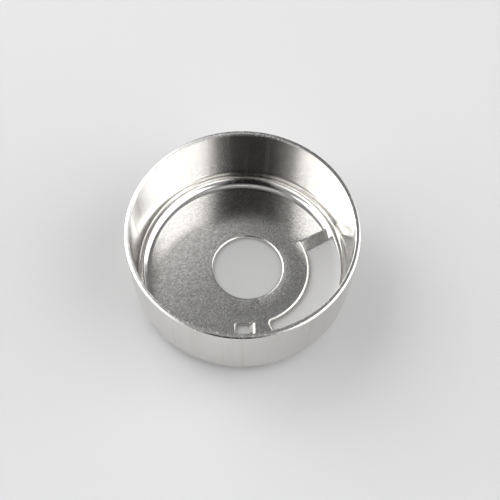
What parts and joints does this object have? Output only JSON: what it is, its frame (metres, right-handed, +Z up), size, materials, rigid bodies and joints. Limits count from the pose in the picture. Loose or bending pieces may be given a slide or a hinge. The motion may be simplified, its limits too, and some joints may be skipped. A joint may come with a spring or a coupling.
{
  "type": "deep drawn metal cup",
  "caption": "Shallow round cup deep drawn from bright sheet metal, with a flat bottom pierced by an off-centre round hole, a kidney slot and a small window, both ramped at one end.",
  "frame": {"origin": "on the axis of the drawn wall, level with the underside that the cup rests on", "axes": "+Z up along the wall's axis, out of the open mouth; +X from the wall's axis towards the off-centre round hole; the small window is on the -Y side"},
  "size_m": [0.03, 0.03, 0.012],
  "materials": {
    "bright_steel": "bright as drawn: near mirror on the wall and rim, fine satin grain on the bottom"
  },
  "bodies": {
    "root": {"cup": "bright_steel"}
  },
  "joints": []
}
